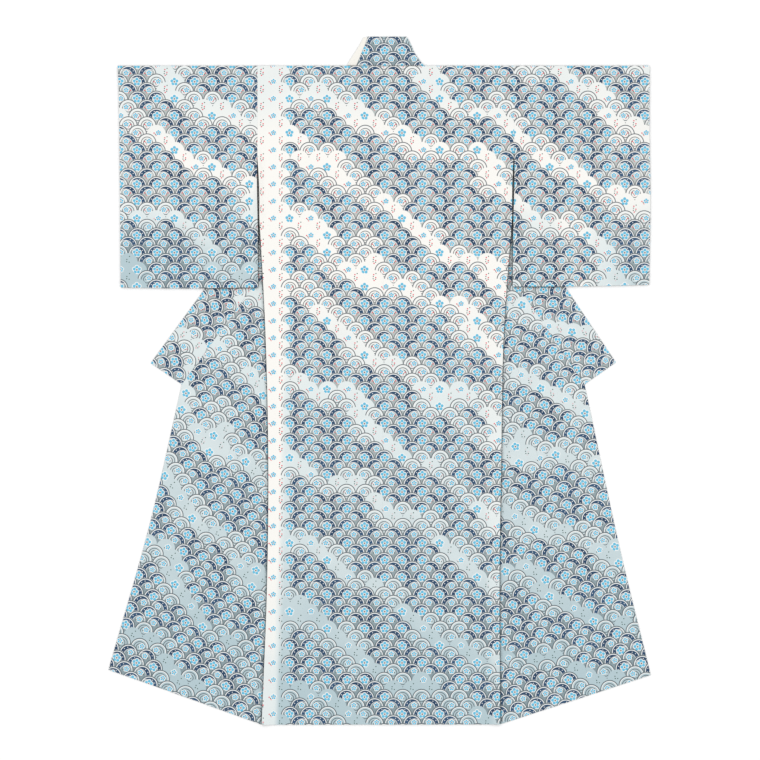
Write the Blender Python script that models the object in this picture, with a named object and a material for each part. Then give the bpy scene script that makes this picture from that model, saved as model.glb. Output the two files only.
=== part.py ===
"""Women's kimono laid out flat on its front, in metres with +Z up.

The garment lies with its back up. The two body panels run over the shoulder fold: their
back halves lie on top, their front halves go under them, and each front is turned out
again along a slanting fold, so that its outer face shows beside the back with the overlap
panel and the collar sewn to it. The sleeves are spread level. Everything is made in one
plan: the outlines of all the pieces cut the floor into shared triangles, and each piece
stacks its leaves of cloth on the triangles inside its own outline.

The origin is on the floor, under the middle of the laid-out garment.
"""

import math

import bmesh
import bpy
from mathutils import Vector
from mathutils.geometry import delaunay_2d_cdt

CLOTH = 0.0012  # outer silk, lining and the air between them
SEAM = 0.0003  # between pieces, and between the leaves of a fold
PITCH = CLOTH + SEAM  # from one layer to the next
FALL = 0.030  # upper cloth comes down to the floor over this distance
FALL_LINES = 4  # lines of the plan across that fall
GRID = 0.045
CLEAR = 0.011  # no grid point this near to an outline
SHOULDER_Y = 0.75525
CENTRE_X = 0.0105
ARM_OPENING = 0.230  # of the sleeve's outer end, from the fold down
TINY = 1e-7

# Landmarks, in metres across from the centre back and down from the shoulder fold, on the
# wearer's left and right as they lie here: left_across, left_down, right_across, right_down.
LANDMARKS = {
    "cuff_top": (0.6385, 0.0000, 0.6370, 0.0000),
    "cuff_upper": (0.6355, 0.0900, 0.6365, 0.1400),
    "cuff_middle": (0.6330, 0.3000, 0.6385, 0.3300),
    "cuff_bottom": (0.6310, 0.5310, 0.6355, 0.5245),
    "pouch_bottom": (0.4700, 0.5335, 0.4700, 0.5285),
    "pouch_inner": (0.3025, 0.5310, 0.3085, 0.5290),
    "armhole_top": (0.3035, 0.0000, 0.3120, 0.0000),
    "armhole_end": (0.3035, 0.2180, 0.3120, 0.1970),
    "slit_middle": (0.3005, 0.3000, 0.3085, 0.3000),
    "slit_end": (0.2985, 0.3580, 0.3070, 0.3580),
    "waist": (0.2835, 0.6500, 0.2865, 0.6500),
    "hip": (0.2770, 0.9600, 0.2805, 0.9600),
    "knee": (0.2805, 1.2600, 0.2765, 1.2600),
    "side_hem": (0.2930, 1.5805, 0.2785, 1.5795),
    "centre_neck": (0.0000, 0.0000, 0.0000, 0.0000),
    "centre_hem": (0.0055, 1.5800, -0.0055, 1.5800),
    "neck_point": (0.0815, 0.0000, 0.0870, 0.0000),
    "fold_top": (0.0225, 0.0000, 0.0225, 0.0000),
    "seam_at_fold": (0.0500, 0.1660, 0.0400, 0.1070),
    "overlap_point": (0.2400, 0.4260, 0.2530, 0.4260),
    "collar_end": (0.4850, 0.7640, 0.4810, 0.7640),
    "collar_tip": (0.5595, 0.7130, 0.5560, 0.7110),
    "free_top": (0.0410, 0.0000, 0.0800, 0.0000),
    "seam_at_hem": (0.5205, 1.4985, 0.4980, 1.5080),
    "edge_middle": (0.5630, 1.1040, 0.5640, 1.1500),
    "front_corner": (0.6610, 1.4490, 0.6400, 1.4615),
}

# Half-widths of the standing collar at the back neck, and of the lining that shows at its
# left edge: rise above the shoulder fold, collar_left, collar_right, lining_left.
NECK_COLLAR = (
    (0.0005, 0.0660, 0.0955, 0.0890),
    (0.0140, 0.0605, 0.0850, 0.0820),
    (0.0340, 0.0525, 0.0720, 0.0690),
    (0.0520, 0.0450, 0.0645, 0.0580),
    (0.0700, 0.0390, 0.0545, 0.0480),
)
LINING_INSET = 0.0016  # the lining's other edges lie this far inside the collar

COLOURS = {
    "body_left": (0.80, 0.82, 0.82),
    "body_right": (0.79, 0.81, 0.81),
    "overlap_left": (0.62, 0.69, 0.72),
    "overlap_right": (0.61, 0.68, 0.71),
    "sleeve_left": (0.83, 0.84, 0.82),
    "sleeve_right": (0.82, 0.83, 0.81),
    "collar": (0.72, 0.76, 0.77),
    "collar_lining": (0.86, 0.83, 0.74),
}
SILK_ROUGHNESS = 0.62
MIRRORED = {"left": -1.0, "right": 1.0}


def clear_scene():
    """Remove what a new file holds."""
    for obj in list(bpy.data.objects):
        bpy.data.objects.remove(obj, do_unlink=True)


def place(side, across, down):
    """A point of the plan, from its distances across and down."""
    return Vector((CENTRE_X + MIRRORED[side] * across, SHOULDER_Y - down))


def landmark(side, name):
    row = LANDMARKS[name]
    return place(side, *(row[:2] if side == "left" else row[2:]))


def curve(points, steps=6):
    """A smooth line through three or more points, or the straight line between two."""
    if len(points) == 2:
        return list(points)
    ends = [2 * points[0] - points[1]] + list(points) + [2 * points[-1] - points[-2]]
    line = []
    for before, start, end, after in zip(ends, ends[1:], ends[2:], ends[3:]):
        for step in range(steps):
            t = step / steps
            line.append(
                0.5 * (2 * start + (end - before) * t
                       + (2 * before - 5 * start + 4 * end - after) * t * t
                       + (3 * start - before - 3 * end + after) * t ** 3)
            )
    return line + [points[-1]]


def edge(side, *names, steps=6):
    return curve([landmark(side, name) for name in names], steps)


def joined(*lines):
    """One closed outline from lines laid end to end, each shared point kept once."""
    outline = []
    for line in lines:
        for point in line:
            if not outline or (point - outline[-1]).length > TINY:
                outline.append(point)
    if (outline[0] - outline[-1]).length <= TINY:
        outline.pop()
    return outline


def area_of(outline):
    return 0.5 * sum(a.x * b.y - b.x * a.y for a, b in zip(outline, outline[1:] + outline[:1]))


def moved_in(outline, distance, closed=True):
    """The line moved to its left by a distance, with mitred corners."""
    moved = []
    count = len(outline)
    for index, point in enumerate(outline):
        before = outline[index - 1] if closed or index else None
        after = outline[(index + 1) % count] if closed or index + 1 < count else None
        ways = [
            (end - start).normalized()
            for start, end in ((before, point), (point, after))
            if start is not None and end is not None
        ]
        normals = [Vector((-way.y, way.x)) for way in ways]
        mean = sum(normals, Vector((0.0, 0.0))).normalized()
        reach = max(mean.dot(normals[0]), 0.35)
        moved.append(point + mean * (distance / reach))
    return moved


def facing_in(outline):
    """The outline run so that its inside is on the left."""
    return outline if area_of(outline) > 0 else outline[::-1]


def distance_to(point, line, closed=False):
    """Distance from a point to a line of straight pieces."""
    ends = line[1:] + line[:1] if closed else line[1:]
    best = math.inf
    for start, end in zip(line, ends):
        along = end - start
        share = (point - start).dot(along) / max(along.length_squared, TINY * TINY)
        near = start + along * min(1.0, max(0.0, share))
        best = min(best, (point - near).length)
    return best


def inside(point, outline):
    """Whether a point lies in an outline, by the crossings to its right."""
    within = False
    for start, end in zip(outline, outline[1:] + outline[:1]):
        if (start.y > point.y) == (end.y > point.y):
            continue
        if point.x < start.x + (point.y - start.y) * (end.x - start.x) / (end.y - start.y):
            within = not within
    return within


def neck_edge(side, column, shift=0.0):
    """One edge of the standing collar, from the shoulder fold up."""
    return curve([place(side, row[column] - shift, -row[0]) for row in NECK_COLLAR], 2)


class Leaf:
    """One layer of one piece: its outline and how many layers lie under it."""

    def __init__(self, level, *lines):
        self.level = level
        self.outline = moved_in(facing_in(joined(*lines)), SEAM / 2)

    def holds(self, point):
        return inside(point, self.outline)


class Piece:
    """A cut piece: its leaves from the floor up, and the lines where they are joined."""

    def __init__(self, name, leaves, folds=()):
        self.name = name
        self.leaves = leaves
        self.folds = folds


class Fold:
    """A line where the leaf at a level and the next leaf up are one cloth, or sewn."""

    def __init__(self, level, line, outline):
        self.level = level
        self.line = line
        width = CLOTH + SEAM / 2
        trial = moved_in(line, width, closed=False)
        half = (len(trial) - 1) // 2
        if not inside((trial[half] + trial[half + 1]) / 2, outline):
            trial = moved_in(line[::-1], width, closed=False)[::-1]
        self.strip = [line[0]] + trial + [line[-1]]

    def holds(self, point):
        return inside(point, joined(self.line, self.strip[::-1]))


def side_line(side, top, steps=6):
    """The body's side edge from the armhole, the slit or the seam's top to the hem."""
    names = ["slit_end", "waist", "hip", "knee", "side_hem"]
    lines = [edge(side, *names, steps=steps)]
    if top != "slit_end":
        lines.insert(0, edge(side, "armhole_end", "slit_middle", "slit_end", steps=2))
    if top == "armhole_top":
        lines.insert(0, edge(side, "armhole_top", "armhole_end"))
    return open_line(*lines)


def open_line(*lines):
    points = []
    for line in lines:
        points += [p for p in line if not points or (p - points[-1]).length > TINY]
    return points


def body(side):
    """A body panel: back half on top, front half under it and turned out again."""
    outer = side_line(side, "armhole_top")
    fold = edge(side, "fold_top", "side_hem")
    seam_at_fold = landmark(side, "seam_at_fold")
    slant = fold[1] - fold[0]
    share = (seam_at_fold - fold[0]).dot(slant) / slant.length_squared
    meeting = fold[0] + slant * share
    long_fold = [meeting, fold[1]]
    collar_seam = [meeting, landmark(side, "overlap_point")]
    overlap_seam = edge(side, "overlap_point", "seam_at_hem")
    hem = edge(side, "seam_at_hem", "side_hem")
    turned = Leaf(0, long_fold[::-1], collar_seam, overlap_seam, hem)
    front = Leaf(1, outer, long_fold[::-1], [meeting, landmark(side, "neck_point")])
    back = Leaf(2, outer, edge(side, "side_hem", "centre_hem"),
                edge(side, "centre_hem", "centre_neck"))
    shoulder = edge(side, "armhole_top", "neck_point")
    folds = (
        Fold(0, long_fold, front.outline),
        Fold(1, side_line(side, "slit_end"), front.outline),
        Fold(1, shoulder, front.outline),
    )
    return Piece("body_" + side, (turned, front, back), folds)


def overlap(side):
    """The overlap panel at the front edge, with its point under the collar."""
    leaf = Leaf(0, edge(side, "overlap_point", "seam_at_hem"),
                edge(side, "seam_at_hem", "front_corner"),
                edge(side, "front_corner", "edge_middle", "collar_end"))
    return Piece("overlap_" + side, (leaf,))


def sleeve(side):
    """A sleeve: one cloth folded at the shoulder line, open at hand and armhole."""
    cuff = edge(side, "cuff_top", "cuff_upper", "cuff_middle", "cuff_bottom", steps=4)
    pouch = edge(side, "cuff_bottom", "pouch_bottom", "pouch_inner", steps=4)
    inner = open_line(edge(side, "pouch_inner", "armhole_end"),
                      edge(side, "armhole_end", "armhole_top"))
    leaves = tuple(Leaf(level, cuff, pouch, inner) for level in (1, 2))
    top = edge(side, "armhole_top", "cuff_top")
    sewn = [p for p in cuff if p.y < SHOULDER_Y - ARM_OPENING]
    folds = tuple(Fold(1, line, leaves[0].outline) for line in (top, pouch, sewn))
    return Piece("sleeve_" + side, leaves, folds)


def collar():
    """The collar: standing at the neck, running out under the back to both ends."""
    leaves = []
    folds = []
    standing = []
    for side in ("left", "right"):
        fold_top = landmark(side, "fold_top")
        slant = landmark(side, "side_hem") - fold_top
        share = (landmark(side, "seam_at_fold") - fold_top).dot(slant) / slant.length_squared
        meeting = fold_top + slant * share
        run = Leaf(0, [meeting, landmark(side, "overlap_point")],
                   edge(side, "overlap_point", "collar_end"),
                   edge(side, "collar_end", "collar_tip"),
                   edge(side, "collar_tip", "free_top"), [fold_top, meeting])
        leaves.append(run)
        column = 1 if side == "left" else 2
        half = [fold_top, meeting, landmark(side, "neck_point")] + neck_edge(side, column)
        standing.append(half)
        folds.append((fold_top, meeting))
    left, right = standing
    neck = Leaf(1, left, right[::-1])
    folds = tuple(Fold(0, list(line), neck.outline) for line in folds)
    return Piece("collar", (*leaves, neck), folds)


def collar_lining():
    """The collar's lining at the back neck, which shows past its left edge."""
    left = neck_edge("left", 3)
    right = neck_edge("right", 2, LINING_INSET)
    top = Vector((0.0, -LINING_INSET))
    left = left[:-1] + [left[-1] + top]
    right = right[:-1] + [right[-1] + top]
    return Piece("collar_lining", (Leaf(0, left, right[::-1]),))


class Plan:
    """The floor cut into triangles by the outlines of all the pieces."""

    def __init__(self, pieces):
        self.pieces = pieces
        lines = self.constraint_lines()
        points = []
        edges = []
        for line, closed in lines:
            first = len(points)
            points += line
            edges += [(first + i, first + i + 1) for i in range(len(line) - 1)]
            if closed:
                edges.append((len(points) - 1, first))
        points += self.grid_points([line for line, _ in lines])
        result = delaunay_2d_cdt(points, edges, [], 0, TINY)
        self.points = result[0]
        self.cells = [tuple(face) for face in result[2]]
        self.centres = [sum((self.points[i] for i in cell), Vector((0, 0))) / 3
                        for cell in self.cells]
        self.beside = {}
        for index, cell in enumerate(self.cells):
            for start, end in zip(cell, cell[1:] + cell[:1]):
                self.beside[start, end] = index
        self.lift = [self.raised(0), self.raised(1)]

    def constraint_lines(self):
        """Every outline, the inner line of every fold, and where upper cloth comes down."""
        lines = []
        for piece in self.pieces:
            for leaf in piece.leaves:
                lines.append((leaf.outline, True))
            for fold in piece.folds:
                lines.append((fold.strip, False))
        for side in ("left", "right"):
            turn = 1.0 if side == "left" else -1.0
            for count in range(1, FALL_LINES + 1):
                away = -turn * FALL * count / FALL_LINES
                for names in (("side_hem", "fold_top"), ("free_top", "collar_tip")):
                    lines.append((moved_in(edge(side, *names), away, closed=False), False))
        return lines

    def grid_points(self, lines):
        """Even points over the laid-out garment, clear of the lines."""
        outlines = [leaf.outline for piece in self.pieces for leaf in piece.leaves]
        across = max(point.x for outline in outlines for point in outline)
        down = max(abs(point.y) for outline in outlines for point in outline)
        columns = math.ceil(across / GRID)
        rows = math.ceil(down / GRID)
        points = []
        for column in range(-columns, columns + 1):
            for row in range(-rows, rows + 1):
                point = Vector((column * GRID, (row + 0.5 * (column % 2)) * GRID))
                if not any(inside(point, outline) for outline in outlines):
                    continue
                if min(distance_to(point, line, True) for line in lines) > CLEAR:
                    points.append(point)
        return points

    def raised(self, level):
        """For each plan point, how far the cloth above is raised by the leaves at a level."""
        leaves = [leaf for piece in self.pieces for leaf in piece.leaves
                  if leaf.level == level]
        under = set()
        for cell, centre in zip(self.cells, self.centres):
            if any(leaf.holds(centre) for leaf in leaves):
                under.update(cell)
        raised = []
        for index, point in enumerate(self.points):
            if index in under:
                raised.append(1.0)
                continue
            away = min(distance_to(point, leaf.outline, True) for leaf in leaves)
            share = max(0.0, 1.0 - away / FALL)
            raised.append(share * share * (3 - 2 * share))
        return raised

    def height(self, index, level):
        """Underside of the cloth that lies at a level, above one plan point."""
        return PITCH * sum(self.lift[lower][index] for lower in range(level))


def mesh_of(piece, plan):
    """The closed mesh of a piece: its leaves stacked on the plan's triangles.

    The space over a triangle is cut into slabs: cloth and gap in turn, from the piece's
    lowest level up. A fold or a seam fills the gap between two leaves.
    """
    lowest = min(leaf.level for leaf in piece.leaves)
    filled = []
    for centre in plan.centres:
        slabs = set()
        for leaf in piece.leaves:
            if leaf.holds(centre):
                slabs.add(2 * (leaf.level - lowest))
        for fold in piece.folds:
            slab = 2 * (fold.level - lowest) + 1
            if {slab - 1, slab + 1} <= slabs and fold.holds(centre):
                slabs.add(slab)
        filled.append(slabs)
    mesh = bmesh.new()
    corners = {}

    def corner(index, floor):
        if (index, floor) not in corners:
            level, top = divmod(floor, 2)
            height = plan.height(index, lowest + level) + top * CLOTH
            point = plan.points[index]
            corners[index, floor] = mesh.verts.new((point.x, point.y, height))
        return corners[index, floor]

    for index, slabs in enumerate(filled):
        cell = plan.cells[index]
        for slab in slabs:
            if slab + 1 not in slabs:
                mesh.faces.new([corner(i, slab + 1) for i in cell])
            if slab - 1 not in slabs:
                mesh.faces.new([corner(i, slab) for i in reversed(cell)])
            for start, end in zip(cell, cell[1:] + cell[:1]):
                other = plan.beside.get((end, start))
                if other is None or slab not in filled[other]:
                    mesh.faces.new([corner(start, slab), corner(end, slab),
                                    corner(end, slab + 1), corner(start, slab + 1)])
    return mesh


def silk(name):
    """A plain satin material in the piece's colour."""
    material = bpy.data.materials.new(name + "_silk")
    material.use_nodes = True
    shader = material.node_tree.nodes["Principled BSDF"]
    shader.inputs["Base Color"].default_value = (*COLOURS[name], 1.0)
    shader.inputs["Roughness"].default_value = SILK_ROUGHNESS
    shader.inputs["Metallic"].default_value = 0.0
    return material


def add(piece, plan):
    """Put a piece in the scene as an object of its own."""
    shape = mesh_of(piece, plan)
    mesh = bpy.data.meshes.new(piece.name)
    shape.to_mesh(mesh)
    shape.free()
    mesh.materials.append(silk(piece.name))
    obj = bpy.data.objects.new(piece.name, mesh)
    bpy.context.scene.collection.objects.link(obj)


def main():
    clear_scene()
    pieces = [collar(), collar_lining()]
    for side in ("left", "right"):
        pieces += [body(side), overlap(side), sleeve(side)]
    plan = Plan(pieces)
    for piece in pieces:
        add(piece, plan)


main()
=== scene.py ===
"""Dressed scene of a women's silk kimono laid out flat with its back up.

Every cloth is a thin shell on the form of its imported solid. A leaf of cloth is a grid that
is stretched between the four edges of its panel, lifted over the layers that lie under it
and creased softly. The leaves of one panel are joined by round folds and flat seams.

Units are metres. The landmarks are measured across from the centre back and down from the
shoulder fold, as on the cutting table.
"""

from __future__ import annotations

import logging
import math
from dataclasses import dataclass, field
from enum import Enum
from functools import partial, reduce
from typing import Callable, Sequence

import bmesh
import bpy
import numpy as np
from bmesh.types import BMesh, BMVert
from bpy.types import Material, Node, NodeTree, Object
from mathutils import Matrix, Vector

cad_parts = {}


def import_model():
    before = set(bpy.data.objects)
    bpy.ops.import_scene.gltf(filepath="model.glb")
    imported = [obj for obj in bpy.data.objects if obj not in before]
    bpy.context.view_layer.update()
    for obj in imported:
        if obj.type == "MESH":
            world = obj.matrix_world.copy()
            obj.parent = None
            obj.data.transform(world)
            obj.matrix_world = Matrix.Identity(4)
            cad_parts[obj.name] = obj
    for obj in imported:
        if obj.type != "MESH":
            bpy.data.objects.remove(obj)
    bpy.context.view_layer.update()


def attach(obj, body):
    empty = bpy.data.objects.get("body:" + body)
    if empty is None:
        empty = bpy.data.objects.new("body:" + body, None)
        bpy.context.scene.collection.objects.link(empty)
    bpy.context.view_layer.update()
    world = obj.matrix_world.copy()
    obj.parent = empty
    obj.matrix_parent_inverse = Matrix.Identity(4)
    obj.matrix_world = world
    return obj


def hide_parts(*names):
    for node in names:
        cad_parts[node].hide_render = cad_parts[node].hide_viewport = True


Pair = tuple[float, float]
Tone = tuple[float, ...]
Socket = bpy.types.NodeSocket
Array = np.ndarray

LOG = logging.getLogger("kimono")

CLOTH = 0.0012
LAYER_GAP = 0.0003
PITCH = CLOTH + LAYER_GAP
SHELL = 0.0010  # thickness of the dressed cloth, inside its solid
CLEARANCE = 0.00005  # no cloth comes closer to the surface than this
FALL = 0.030  # upper cloth comes down over this distance
CELL = 0.0075  # side of a grid cell
EDGE_LINES = (0.0014, 0.0038)  # the first grid lines lie this far from an edge
FOLD_STEPS = 6
CENTRE_X = 0.0105
SHOULDER_Y = 0.75525
ARM_OPENING = 0.230
FOLD_DROP = np.array((0.0, -PITCH / 2 - SHELL / 2))  # leaves end this far before the fold's rim
WELD = 2e-6  # vertices closer than this are one
TINY = 1e-7  # shorter lengths count as none
RIM_SHARE = 0.38  # the rim's rounding as a share of the shell's thickness
RIM_ANGLE = math.radians(55)  # sharper edges are rounded
PRINTED_ALL_OVER = 9.0  # beyond any place on the cloth, so that no strip stays plain


class Side(Enum):
    """The wearer's side as it lies here."""

    LEFT = -1
    RIGHT = 1

    @property
    def word(self) -> str:
        """The side's name inside a piece's name."""
        return self.name.lower()


class Level(Enum):
    """Which layer a leaf lies in, from the surface up."""

    TURNED = 0
    UNDER = 1
    TOP = 2


UPPER_TWO = (Level.UNDER, Level.TOP)


LANDMARKS: dict[str, tuple[float, float, float, float]] = {
    # name: left across, left down, right across, right down
    "cuff_top": (0.6385, 0.0000, 0.6370, 0.0000),
    "cuff_upper": (0.6355, 0.0900, 0.6365, 0.1400),
    "cuff_middle": (0.6330, 0.3000, 0.6385, 0.3300),
    "cuff_bottom": (0.6310, 0.5310, 0.6355, 0.5245),
    "pouch_bottom": (0.4700, 0.5335, 0.4700, 0.5285),
    "pouch_inner": (0.3025, 0.5310, 0.3085, 0.5290),
    "armhole_top": (0.3035, 0.0000, 0.3120, 0.0000),
    "armhole_end": (0.3035, 0.2180, 0.3120, 0.1970),
    "slit_middle": (0.3005, 0.3000, 0.3085, 0.3000),
    "slit_end": (0.2985, 0.3580, 0.3070, 0.3580),
    "waist": (0.2835, 0.6500, 0.2865, 0.6500),
    "hip": (0.2770, 0.9600, 0.2805, 0.9600),
    "knee": (0.2805, 1.2600, 0.2765, 1.2600),
    "side_hem": (0.2930, 1.5805, 0.2785, 1.5795),
    "centre_neck": (0.0000, 0.0000, 0.0000, 0.0000),
    "centre_hem": (0.0055, 1.5800, -0.0055, 1.5800),
    "neck_point": (0.0815, 0.0000, 0.0870, 0.0000),
    "fold_top": (0.0225, 0.0000, 0.0225, 0.0000),
    "seam_at_fold": (0.0500, 0.1660, 0.0400, 0.1070),
    "overlap_point": (0.2400, 0.4260, 0.2530, 0.4260),
    "collar_end": (0.4850, 0.7640, 0.4810, 0.7640),
    "collar_tip": (0.5595, 0.7130, 0.5560, 0.7110),
    "free_top": (0.0410, 0.0000, 0.0800, 0.0000),
    "seam_at_hem": (0.5205, 1.4985, 0.4980, 1.5080),
    "edge_middle": (0.5630, 1.1040, 0.5640, 1.1500),
    "front_corner": (0.6610, 1.4490, 0.6400, 1.4615),
}

NECK_ROWS: tuple[tuple[float, float, float, float], ...] = (
    # rise above the fold, left edge, right edge, lining's left edge
    (0.0005, 0.0660, 0.0955, 0.0890),
    (0.0140, 0.0605, 0.0850, 0.0820),
    (0.0340, 0.0525, 0.0720, 0.0690),
    (0.0520, 0.0450, 0.0645, 0.0580),
    (0.0700, 0.0390, 0.0545, 0.0480),
)
LINING_INSET = 0.0016


# Plan


def smooth_line(points: Array, steps: int = 12) -> Array:
    """Draw a smooth line through a few points.

    Args:
        points: The points, one in a row.
        steps: Straight pieces between each two of them.

    Returns:
        The line's points, or the two ends of a straight line.
    """
    if len(points) == 2:
        return points
    ends = np.vstack([2 * points[0] - points[1], points, 2 * points[-1] - points[-2]])
    share = np.linspace(0.0, 1.0, steps, endpoint=False)[:, None]
    parts = []
    for before, start, end, after in zip(ends, ends[1:], ends[2:], ends[3:]):
        parts.append(
            0.5 * (2 * start + (end - before) * share
                   + (2 * before - 5 * start + 4 * end - after) * share ** 2
                   + (3 * start - before - 3 * end + after) * share ** 3)
        )
    return np.vstack(parts + [points[-1:]])


def place(side: Side, across: float, down: float) -> Array:
    """Give the plan point at a distance across and down."""
    return np.array((CENTRE_X + side.value * across, SHOULDER_Y - down))


def landmark(side: Side, name: str) -> Array:
    """Give the plan point of a landmark on one side."""
    row = LANDMARKS[name]
    return place(side, *(row[:2] if side is Side.LEFT else row[2:]))


def corners(side: Side, *names: str) -> Array:
    """Give some landmarks, one in a row."""
    return np.array([landmark(side, name) for name in names])


def edge(side: Side, *names: str) -> Array:
    """Draw the smooth edge through some landmarks."""
    return smooth_line(corners(side, *names))


def chain(*lines: Array) -> Array:
    """Lay lines end to end and keep each shared point once."""
    points = [lines[0][0]]
    for line in lines:
        for point in line:
            if np.hypot(*(point - points[-1])) > TINY:
                points.append(point)
    return np.array(points)


def span(line: Array) -> float:
    """Measure the length of a line."""
    return float(np.hypot(*np.diff(line, axis=0).T).sum())


def grid_lines(line: Array) -> Array:
    """Share out grid lines along a line, closer together at both ends.

    Args:
        line: The line's points.

    Returns:
        The grid lines' places, from 0 to 1.
    """
    length = span(line)
    count = max(2, round(length / CELL))
    if length < 8 * EDGE_LINES[-1]:
        return np.linspace(0.0, 1.0, count + 1)
    near = np.array(EDGE_LINES) / length
    inner = np.linspace(2 * near[-1], 1 - 2 * near[-1], count)
    return np.concatenate([[0.0], near, inner, 1 - near[::-1], [1.0]])


def distance_to(points: Array, line: Array, closed: bool = False) -> Array:
    """Measure how far points lie from a line.

    Args:
        points: Plan points, one in a row.
        line: The line's points.
        closed: Whether the line's last point joins its first.

    Returns:
        The distance of each point to the nearest piece of the line.
    """
    ends = np.vstack([line[1:], line[:1]]) if closed else line[1:]
    best = np.full(len(points), np.inf)
    for start, end in zip(line, ends):
        along = end - start
        length = float(along @ along)
        share = np.clip(((points - start) @ along) / max(length, 1e-14), 0.0, 1.0)
        near = start + share[:, None] * along
        best = np.minimum(best, np.hypot(*(points - near).T))
    return best


def inside(points: Array, outline: Array) -> Array:
    """Tell which points lie in a closed outline."""
    within = np.zeros(len(points), bool)
    x, y = points.T
    for start, end in zip(outline, np.vstack([outline[1:], outline[:1]])):
        if start[1] == end[1]:
            continue
        spans = (start[1] > y) != (end[1] > y)
        crossing = start[0] + (y - start[1]) * (end[0] - start[0]) / (end[1] - start[1])
        within ^= spans & (x < crossing)
    return within


def smooth_step(share: Array) -> Array:
    """Ease a share from 0 to 1."""
    share = np.clip(share, 0.0, 1.0)
    return share * share * (3 - 2 * share)


# Heights


@dataclass
class Crease:
    """A soft ridge or trough, given in world x and y.

    Its height rises from nothing over a share of its length at both ends.
    """

    start: Pair
    end: Pair
    width: float
    height: float
    bow: float = 0.0
    lowest: Level = Level.TURNED
    past_end: float = 0.05
    rise: float = 0.3

    def relief(self, points: Array) -> Array:
        """Give the crease's height at plan points, fading out at its ends."""
        start = np.array(self.start)
        along = np.array(self.end) - start
        length = float(np.hypot(*along))
        way = along / length
        offset = points - start
        run = np.clip((offset @ way) / length, -0.2, 1.2)
        aside = offset @ np.array((-way[1], way[0])) - self.bow * np.sin(np.pi * run)
        fade = (smooth_step((run + self.past_end) / self.rise)
                * smooth_step((1 + self.past_end - run) / self.rise))
        return self.height * fade * np.exp(-((aside / self.width) ** 2))


@dataclass
class EdgeLine:
    """A long edge where the cloth stands up a little, or a seam where it dips."""

    line: Array
    levels: tuple[Level, ...]
    width: float
    height: float
    uneven: float = 0.1

    def relief(self, points: Array) -> Array:
        """Give the height that the edge adds at plan points."""
        reach = distance_to(points, self.line)
        x, y = points.T
        wander = np.sin(17.0 * y + 5.0 * x) * np.sin(6.1 * y - 11.0 * x + 1.7)
        strength = 1.0 - self.uneven * (0.5 + 0.5 * wander)
        return self.height * strength * np.exp(-((reach / self.width) ** 2))


# How far the lower cloth on each side of a slit is drawn in at the slit's foot.
CLOSING = {Side.LEFT: 0.0025, Side.RIGHT: 0.0020}


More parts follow.
